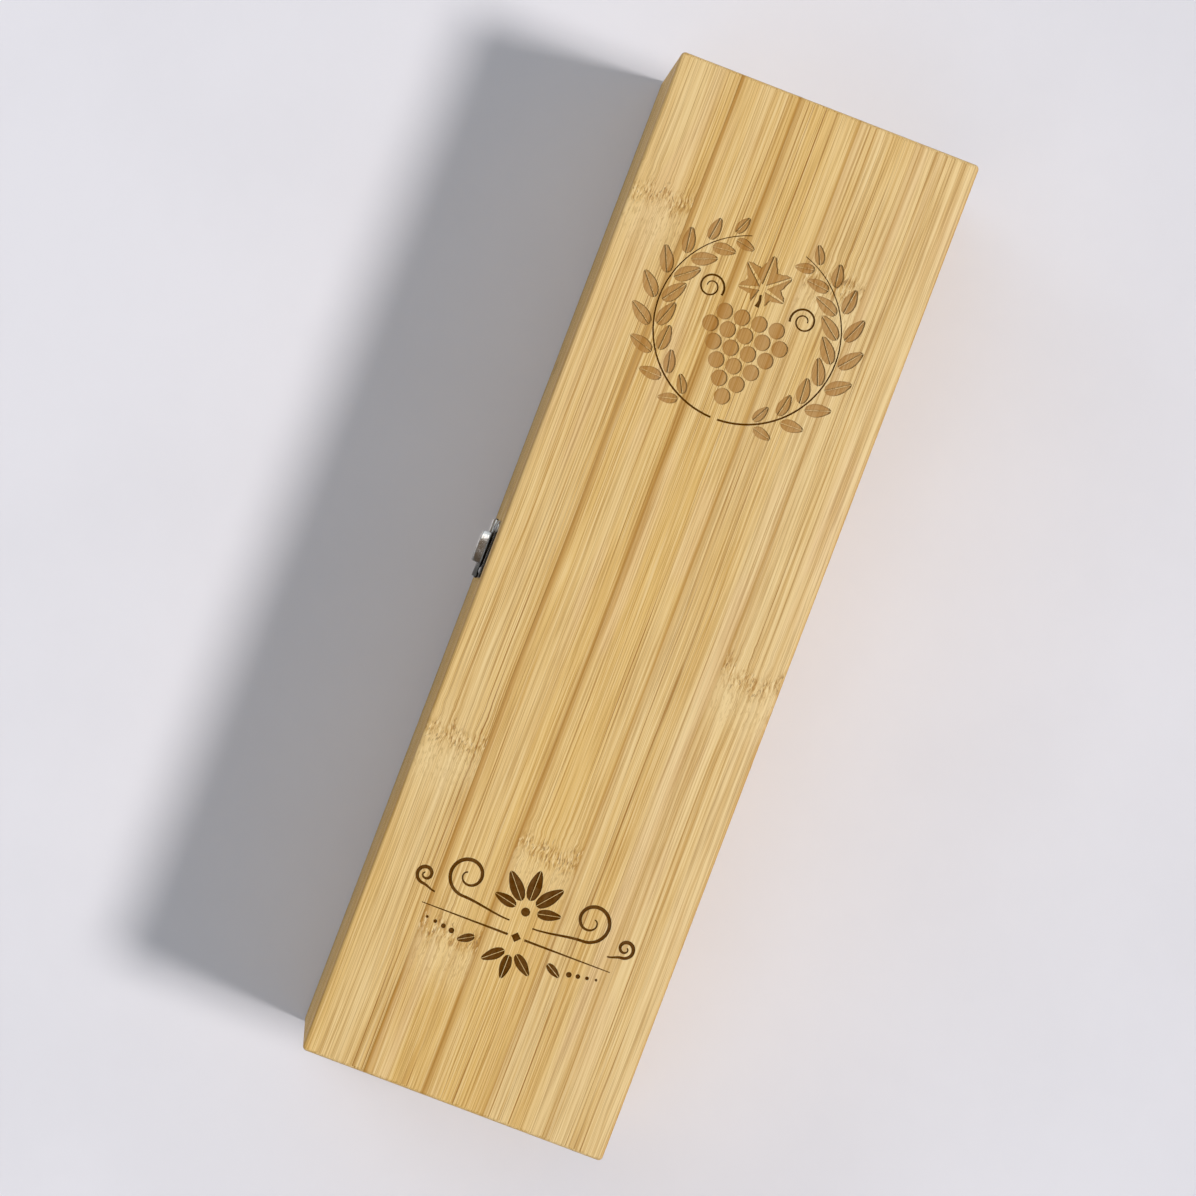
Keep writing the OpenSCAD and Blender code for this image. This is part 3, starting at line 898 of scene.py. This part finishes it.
    def _scroll(self) -> Iterator[Outline]:
        """Yields the scrolled rule: leaves between curls, a thin line, and more leaves below."""
        yield from self._sprig((0.0, 5.8), (90.0, 50.0, 130.0), 11.5, 3.4)
        yield from self._sprig((0.0, 5.8), (12.0, 168.0), 8.8, 3.4)
        yield self.disc((0.0, 5.8), 1.5, 20)
        for side in (-1, 1):
            yield self._curl(side, (21.5, 10.5), self.scroll_r, (4.0, 1.5))
            yield self._curl(side, (35.0, 6.0), self.scroll_r * 0.45, (30.2, 1.6))
            inner, outer = side * 2.9, side * self.scroll_w / 2
            yield [(inner, -2.6), (outer, -2.85), (outer, -3.15), (inner, -3.4)]
        yield self.disc((0.0, -3.0), 1.7, 4)
        yield from self._sprig((0.0, -6.6), (-90.0, -40.0, -140.0), 9.0, 2.2)
        for side in (-1, 1):
            yield from self._sprig((side * 12.5, -7.4), (-90.0 + side * 60,), 6.5, 0.0)
            for n in range(4):
                yield self.disc((side * (20.6 + 3.0 * n), -8.4 + 0.5 * n), 0.95 - 0.16 * n, 16)


def in_scene(name: str, data: bpy.types.ID) -> bpy.types.Object:
    """Puts a mesh, a lamp or a camera in the scene.

    Args:
        name: The name of its object.
        data: The mesh, lamp or camera.

    Returns:
        The object.
    """
    thing = bpy.data.objects.new(name, data)
    bpy.context.scene.collection.objects.link(thing)
    return thing


def piece_of(name: str, shape: bmesh.types.BMesh) -> bpy.types.Object:
    """Makes an object of a finished shape.

    Args:
        name: The object's name.
        shape: The shape, in the row's frame; it is freed.

    Returns:
        The new object.
    """
    mesh = bpy.data.meshes.new(name)
    shape.to_mesh(mesh)
    shape.free()
    return in_scene(name, mesh)


def loft(shape: bmesh.types.BMesh, rings: list[list[Vector]]) -> None:
    """Adds a closed solid through rings of points.

    Args:
        shape: The shape that it is added to.
        rings: The rings from the lowest up, each counter-clockwise from above.
    """
    loops = [[shape.verts.new(point) for point in ring] for ring in rings]
    for lower, upper in zip(loops, loops[1:]):
        for n in range(len(lower)):
            after = (n + 1) % len(lower)
            shape.faces.new((lower[n], lower[after], upper[after], upper[n]))
    shape.faces.new(loops[-1])
    shape.faces.new(loops[0][::-1])


def wear(piece: bpy.types.Object, *materials: bpy.types.Material) -> None:
    """Gives a piece its materials.

    Args:
        piece: The piece, which loses those that it has.
        materials: The materials.
    """
    piece.data.materials.clear()
    for material in materials:
        piece.data.materials.append(material)


def keep_result(piece: bpy.types.Object) -> None:
    """Makes what a piece's modifiers do its own mesh.

    Args:
        piece: The piece.
    """
    bpy.context.view_layer.update()
    ready = piece.evaluated_get(bpy.context.evaluated_depsgraph_get())
    mesh = bpy.data.meshes.new_from_object(ready)
    piece.modifiers.clear()
    piece.data = mesh


def seat(piece: bpy.types.Object, body: str, node: str) -> None:
    """Attaches a new piece to the body that it rides on, hides the CAD node that it stands for, and logs the
    body.

    Args:
        piece: The piece.
        body: The body that it moves with.
        node: The CAD node that it replaces.
    """
    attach(piece, body)
    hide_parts(node)
    log.info("%s rides on %s", piece.name, body)


def dress(frame: dict[str, Any], node: str, material: bpy.types.Material) -> None:
    """Gives a CAD node of the loaded frame its material."""
    wear(frame["nodes"][node], material)
    log.info("%s keeps its shape and wears %s", node, material.name)


@dataclass
class LidPanel:
    """The engraved top board.

    Attributes:
        round_r: The radius round its top edge, in metres.
        corner_r: The radius of its upright corners, in metres.
        corner_steps: The number of facets round a corner.
        corner_least: The least radius of a corner within the rounded edge, in metres.
        edge_steps: The number of facets round the top edge.
        rim_gap: The margin between the rounded edge and the engraving, in metres.
        hair: The play in telling one height from another, in metres.
        sharp: The angle in degrees from which an edge looks sharp.
        painted_side_shade: How much painted shade, warmer and darker, lies on its long sides.
        ornament: The engraving.
        strips: Its bamboo strips, from the front to the back.
    """

    round_r: float = 0.0012
    corner_r: float = 0.0015
    corner_steps: int = 6
    corner_least: float = 0.0002
    edge_steps: int = 5
    rim_gap: float = 0.0005
    hair: float = 0.00001
    sharp: float = 35.0
    painted_side_shade: float = 0.60
    ornament: Ornament = field(default_factory=Ornament)
    strips: tuple[Strip, ...] = (
        Strip(node=48.0, pitch=189.5, seam=0.30, tone=0.62),
        Strip(node=298.5, pitch=400.0, seam=1.00, tone=0.42),
        Strip(node=262.0, pitch=400.0, seam=0.75, tone=0.28),
        Strip(node=54.0, pitch=400.0, seam=0.35, tone=0.78),
        Strip(node=185.5, pitch=400.0, seam=0.50, tone=0.92),
    )

    def __post_init__(self) -> None:
        """Takes the board's lowest and highest corners from the frame."""
        self.low, self.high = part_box("lid_panel")

    def build(self) -> None:
        """Makes the board, cuts the engraving and dresses it."""
        board = Bamboo(
            "lid_bamboo",
            Grain.ALONG_X_ACROSS_Y,
            start=(self.low.x / MM, self.low.y / MM),
            strip_w=(self.high.y - self.low.y) / MM / len(self.strips),
            seed=2.0,
            strips=self.strips,
            painted_side_shade=self.painted_side_shade,
        )
        piece = self._blank()
        for cut in Cut:
            self._carve(piece, cut)
        wear(piece, board.material(), *(Scorch(board, cut).material() for cut in Cut))
        self._assign(piece.data)
        seat(piece, "lid", "lid_panel")

    def _ring(self, z: float, inset: float) -> list[Vector]:
        """Draws the board's outline with its round corners.

        Args:
            z: The height that it lies at.
            inset: How far it lies inside the board's sides.

        Returns:
            Its points.
        """
        radius = max(self.corner_r - inset, self.corner_least)
        ring = []
        for corner, (side_x, side_y) in enumerate(((1, 1), (-1, 1), (-1, -1), (1, -1))):
            cx = (self.high.x if side_x > 0 else self.low.x) - side_x * (inset + radius)
            cy = (self.high.y if side_y > 0 else self.low.y) - side_y * (inset + radius)
            for t in shares(self.corner_steps):
                a = math.radians(90 * (corner + t))
                ring.append(Vector((cx + radius * math.cos(a), cy + radius * math.sin(a), z)))
        return ring

    def _blank(self) -> bpy.types.Object:
        """Makes the plain board with its rounded edges.

        Returns:
            The board.
        """
        rings = [self._ring(self.low.z, 0.0)]
        for t in shares(self.edge_steps):
            a = math.radians(90 * t)
            drop, inset = self.round_r * (1 - math.sin(a)), self.round_r * (1 - math.cos(a))
            rings.append(self._ring(self.high.z - drop, inset))
        shape = bmesh.new()
        loft(shape, rings)
        return piece_of("lid_panel_engraved", shape)

    def _carve(self, piece: bpy.types.Object, cut: Cut) -> None:
        """Cuts all outlines of one kind into the board.

        Args:
            piece: The board.
            cut: The kind.
        """
        shape = bmesh.new()
        middle_y = (self.low.y + self.high.y) / 2
        for kind, at, outline in self.ornament.outlines():
            if kind is not cut:
                continue
            flat = [(self.low.x + (at - up) * MM, middle_y + across * MM) for across, up in outline]
            area = sum(x0 * y1 - x1 * y0 for (x0, y0), (x1, y1) in zip(flat, flat[1:] + flat[:1]))
            if area < 0:
                flat.reverse()
            ends = (self.high.z - cut.depth, self.high.z + cut.depth)
            loft(shape, [[Vector((x, y, z)) for x, y in flat] for z in ends])
        cutter = piece_of(f"cutter_{cut.name.lower()}", shape)
        modifier = piece.modifiers.new("carve", "BOOLEAN")
        modifier.operation = "DIFFERENCE"
        modifier.solver = "MANIFOLD"
        modifier.object = cutter
        keep_result(piece)
        bpy.data.objects.remove(cutter)

    def _assign(self, mesh: bpy.types.Mesh) -> None:
        """Scorches the board's pockets, giving their walls the darkest burn, partly as painted shade, and
        smooths only its rounded edges.

        Args:
            mesh: The carved mesh.
        """
        low, high, hair = self.low, self.high, self.hair
        rim = self.round_r + self.rim_gap
        for face in mesh.polygons:
            x, y, z = face.center
            within = low.x + rim < x < high.x - rim and low.y + rim < y < high.y - rim
            face.use_smooth = not within
            if not within or z > high.z - hair or z < low.z + hair:
                continue
            is_fill = abs(z - (high.z - Cut.FILL.depth)) < hair
            # Pocket walls take the line burn: partly the beam's real char, partly painted shade inside the
            # pockets.
            face.material_index = 1 if is_fill else 2
        mesh.set_sharp_from_angle(angle=math.radians(self.sharp))


@dataclass
class Carcass:
    """The boards that keep their CAD shapes.

    Attributes:
        frame: The loaded frame.
        wall_strip_w: The width of the strips in the walls, in millimetres.
        wall_painted_shade: How much painted shade makes the walls darker than the lid.
        wall_sheen: How strongly the walls reflect.
        wall_gloss: The roughness of the walls.
        inner_gloss: The roughness of the boards inside, which are only sanded.
    """

    frame: dict[str, Any]
    wall_strip_w: float = 19.0
    wall_painted_shade: float = 0.03
    wall_sheen: float = 0.05
    wall_gloss: float = 0.58
    inner_gloss: float = 0.66

    def build(self) -> None:
        """Dresses every wall, rail and rest."""
        on_edge, on_end = Grain.ALONG_X_ACROSS_Z, Grain.ALONG_Y_ACROSS_Z
        for n, node in enumerate(("front_wall", "back_wall", "lid_front_rail", "lid_back_rail")):
            self._board(node, on_edge, 11.0 + 5.7 * n, self.wall_gloss)
        for n, node in enumerate(("neck_end_wall", "foot_end_wall", "lid_neck_rail", "lid_foot_rail")):
            self._board(node, on_end, 41.0 + 6.1 * n, self.wall_gloss)
        self._board("floor_panel", Grain.ALONG_X_ACROSS_Y, 71.0, self.inner_gloss)
        for n, node in enumerate(("neck_rest", "body_rest")):
            self._board(node, on_end, 81.0 + 9.0 * n, self.inner_gloss)

    def _board(self, node: str, grain: Grain, seed: float, gloss: float) -> None:
        """Dresses one board.

        Args:
            node: The board's node.
            grain: The way its strips run.
            seed: Sets its pattern.
            gloss: Its roughness.
        """
        low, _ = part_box(node)
        start = (low[grain.value[0]] / MM, low[grain.value[1]] / MM)
        # The walls take a little painted shade.
        look = {"seed": seed, "shade": self.wall_painted_shade, "gloss": gloss, "sheen": self.wall_sheen}
        board = Bamboo(f"{node}_bamboo", grain, start, self.wall_strip_w, **look)
        dress(self.frame, node, board.material())


@dataclass
class Fittings:
    """The latch and the hinges.

    Attributes:
        frame: The loaded frame.
        edge_r: How far the edges of the latch's sheet are rounded, in metres.
        edge_steps: The number of facets round such an edge.
        dome: How far the sides of the tongue's bill are drawn in, in metres.
        dome_power: How late that starts on the way to a side; 2 is round, and more is flatter.
        dome_steps: The number of facets from the middle of the bill to its side.
        bill_core: The middle of the bill's curve, from the pin, in metres.
        bill_reach: How far from the pin the doming starts, is full, fades and ends, in metres.
        bend: The angle in degrees from which an edge is rounded.
        level: The angle in degrees up to which two facets are one.
        painted_dark_end: How much painted dark reflection lies on the end of the latch towards +X.
    """

    frame: dict[str, Any]
    edge_r: float = 0.00015
    edge_steps: int = 2
    dome: float = 0.0005
    dome_power: float = 3.5
    dome_steps: int = 8
    bill_core: Vector = field(default_factory=lambda: Vector((0.0, -0.0012, -0.0032)))
    bill_reach: tuple[float, ...] = (0.0013, 0.0027, 0.0050, 0.0070)
    bend: float = 45.0
    level: float = 1.0
    painted_dark_end: float = 0.8

    def build(self) -> None:
        """Rounds the sheet-metal pieces' edges and dresses all the metal."""
        plates = {"latch_plate": "lid", "latch_tongue": "tongue", "latch_catch": "base"}
        for n, (node, body) in enumerate(plates.items()):
            finish = Nickel(f"{node}_nickel", seed=3.0 + 11.0 * n, painted_dark_end=self.painted_dark_end)
            self._rounded(node, body, finish.material())
        hinge_look = Nickel("hinge_nickel", roughness=0.26, dirt=0.7, seed=51.0).material()
        steel = Nickel("bright_steel", (0.56, 0.55, 0.53), roughness=0.28, dirt=0.6, seed=77.0).material()
        for node in self.frame["nodes"]:
            if node.endswith("_leaf"):
                dress(self.frame, node, hinge_look)
            elif node.endswith(("_pin", "_screws", "_nails")):
                dress(self.frame, node, steel)

    def _dome(self, shape: bmesh.types.BMesh) -> None:
        """Domes the tongue's bill, as the press does.

        Args:
            shape: The tongue's shape.
        """
        pin = sum(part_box("latch_pin"), Vector()) / 2
        core = pin + self.bill_core
        half_w = max(abs(v.co.x) for v in shape.verts)
        for n in range(1 - self.dome_steps, self.dome_steps):
            across = Vector((half_w * math.sin(math.radians(90 * n / self.dome_steps)), 0.0, 0.0))
            geometry = [*shape.verts, *shape.edges, *shape.faces]
            bmesh.ops.bisect_plane(shape, geom=geometry, plane_co=across, plane_no=Vector((1.0, 0.0, 0.0)))
        for vert in shape.verts:
            away = math.hypot(vert.co.y - pin.y, vert.co.z - pin.z)
            start, full, fade, end = self.bill_reach
            share = min(max((away - start) / (full - start), 0.0), 1.0)
            tail = min(max((away - fade) / (end - fade), 0.0), 1.0)
            inward = Vector((0.0, core.y - vert.co.y, core.z - vert.co.z)).normalized()
            crown = (abs(vert.co.x) / half_w) ** self.dome_power
            vert.co += inward * self.dome * share * (1.0 - tail) * crown

    def _rounded(self, node: str, body: str, material: bpy.types.Material) -> None:
        """Makes a copy of a node with soft edges, which stands for it.

        Args:
            node: The node.
            body: The body that it belongs to.
            material: Its material.
        """
        shape = bmesh.new()
        shape.from_mesh(self.frame["nodes"][node].data)
        bmesh.ops.remove_doubles(shape, verts=shape.verts, dist=MM / 1000)
        level = math.radians(self.level)
        bmesh.ops.dissolve_limit(shape, angle_limit=level, verts=shape.verts, edges=shape.edges)
        if node == "latch_tongue":
            self._dome(shape)
        for face in shape.faces:
            face.smooth = True
        piece = piece_of(f"{node}_sheet", shape)
        bevel = piece.modifiers.new("edges", "BEVEL")
        bevel.width = self.edge_r
        bevel.segments = self.edge_steps
        bevel.limit_method = "ANGLE"
        bevel.angle_limit = math.radians(self.bend)
        piece.modifiers.new("flats", "WEIGHTED_NORMAL")
        keep_result(piece)
        wear(piece, material)
        seat(piece, body, node)


@dataclass
class Studio:
    """The floor, the lights and the camera. Places are in the row's frame, and angles in degrees.

    Attributes:
        eye: Where the camera is.
        aim: The point of the lid that it looks at.
        roll: The turn of the box in the picture.
        lens: The focal length for a 36 mm wide picture, in millimetres.
        key_bearing: Where the main light stands, from +X towards +Y.
        key_height: Its height above the horizon.
        key_spread: Its width as seen from the box.
        key_strength: Its power, in watts to the square metre.
        key_colour: Its tint.
        glint_power: The power of the small lamp in front of the latch, in watts.
        glint_place: Where it hangs.
        glint_size: Its width and height.
        air: The tint of the room's light.
        walls: The brightness of the room's walls.
        ceiling: The brightness of its ceiling.
        ceiling_tilt: How far the middle of the ceiling lies to the front.
        ceiling_edge: The cosines of the angles from there at which it starts and is full.
        shade: The colour of a dark part of the room, high in front, that the latch mirrors.
        shade_edges: Between which directions it fades at its neck, foot, back and low edges.
        floor_half: Half the width of the floor.
    """

    eye: Vector = field(default_factory=lambda: Vector((0.0234, -0.0969, 1.6652)))
    aim: Vector = field(default_factory=lambda: Vector((0.0026, -0.0145, 0.0980)))
    roll: float = 20.9
    lens: float = 144.14
    key_bearing: float = 91.0
    key_height: float = 54.0
    key_spread: float = 11.0
    key_strength: float = 2.30
    key_colour: Colour = (1.020, 0.985, 0.965)
    glint_power: float = 1.0
    glint_place: Vector = field(default_factory=lambda: Vector((-0.44, -1.16, 1.17)))
    glint_size: tuple[float, float] = (0.60, 0.25)
    air: Colour = (0.91, 1.00, 1.10)
    walls: float = 0.14
    ceiling: float = 1.10
    ceiling_tilt: float = 30.0
    ceiling_edge: tuple[float, float] = (0.55, 0.98)
    shade: Colour = (0.150, 0.105, 0.065)
    shade_edges: tuple[Point, ...] = ((-0.14, -0.06), (0.45, 0.65), (-0.45, -0.30), (0.30, 0.45))
    floor_half: float = 12.0

    def build(self) -> None:
        """Sets up the floor, the lights and the camera."""
        shape = bmesh.new()
        bmesh.ops.create_grid(shape, x_segments=1, y_segments=1, size=self.floor_half)
        floor = piece_of("studio_floor", shape)
        wear(floor, PaleFloor().material())
        floor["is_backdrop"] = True
        self._key()
        self._glint()
        self._room()
        self._camera()

    def _hang(self, name: str, kind: str, place: Vector, power: float) -> bpy.types.Light:
        """Hangs a lamp that shines on the middle of the floor.

        Args:
            name: The lamp's name.
            kind: The kind of light.
            place: Where it hangs.
            power: Its power.

        Returns:
            The lamp.
        """
        lamp = bpy.data.lights.new(name, kind)
        lamp.energy = power
        holder = in_scene(name, lamp)
        holder.location = place
        holder.rotation_euler = (-place).to_track_quat("-Z", "Y").to_euler()
        return lamp

    def _key(self) -> None:
        """Hangs the main light."""
        bearing, height = math.radians(self.key_bearing), math.radians(self.key_height)
        across = math.cos(height)
        away = Vector((across * math.cos(bearing), across * math.sin(bearing), math.sin(height)))
        lamp = self._hang("key", "SUN", away, self.key_strength)
        lamp.angle = math.radians(self.key_spread)
        lamp.color = self.key_colour

    def _glint(self) -> None:
        """Hangs a small lamp in front, which draws bright lines on the metal."""
        lamp = self._hang("glint", "AREA", self.glint_place, self.glint_power)
        lamp.shape = "RECTANGLE"
        lamp.size, lamp.size_y = self.glint_size

    def _room(self) -> None:
        """Lights the room softly, most from the ceiling."""
        g = Graph(bpy.data.worlds.new("room"))
        x, y, z = g.split(g.add("ShaderNodeTexCoord", {}, {}, "Generated"))
        tilt = math.radians(self.ceiling_tilt)
        lift = (z * math.cos(tilt) - y * math.sin(tilt)).rise(*self.ceiling_edge)
        walls, ceiling = (tuple(c * level for c in self.air) for level in (self.walls, self.ceiling))
        neck, foot, back, low = self.shade_edges
        dark = x.rise(*neck) * x.fall(*foot) * y.fall(*back) * z.rise(*low)
        light = g.coats(walls, (lift, ceiling), (dark, self.shade))
        light = g.add("ShaderNodeBackground", {}, {"Color": light})
        g.add("ShaderNodeOutputWorld", {}, {"Surface": light})
        bpy.context.scene.world = g.owner
        bpy.context.scene.view_settings.view_transform = "Standard"

    def _camera(self) -> None:
        """Stands the camera where the photograph was taken from."""
        forward = (self.aim - self.eye).normalized()
        roll = math.radians(self.roll)
        neckwards = Vector((-math.cos(roll), -math.sin(roll), 0.0))
        up = (neckwards - forward * neckwards.dot(forward)).normalized()
        right = forward.cross(up)
        data = bpy.data.cameras.new("camera")
        data.lens = self.lens
        camera = in_scene("camera", data)
        turn = Matrix((right, up, -forward)).transposed().to_4x4()
        camera.matrix_world = Matrix.Translation(self.eye) @ turn
        bpy.context.scene.camera = camera


def corners(bounds: Any) -> list[list[float]]:
    """Returns a box's two corners as plain lists."""
    return [[float(v) for v in corner] for corner in bounds]


def main() -> None:
    """Builds the studio, then each sub-assembly, and works out the model's size before and after."""
    logging.basicConfig(level=logging.INFO, format="%(name)s: %(message)s")
    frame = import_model()
    cad_box = corners(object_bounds())
    Studio().build()
    LidPanel().build()
    Carcass(frame).build()
    Fittings(frame).build()
    {"cad": cad_box, "visual": corners(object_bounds())}


if __name__ == "__main__":
    main()
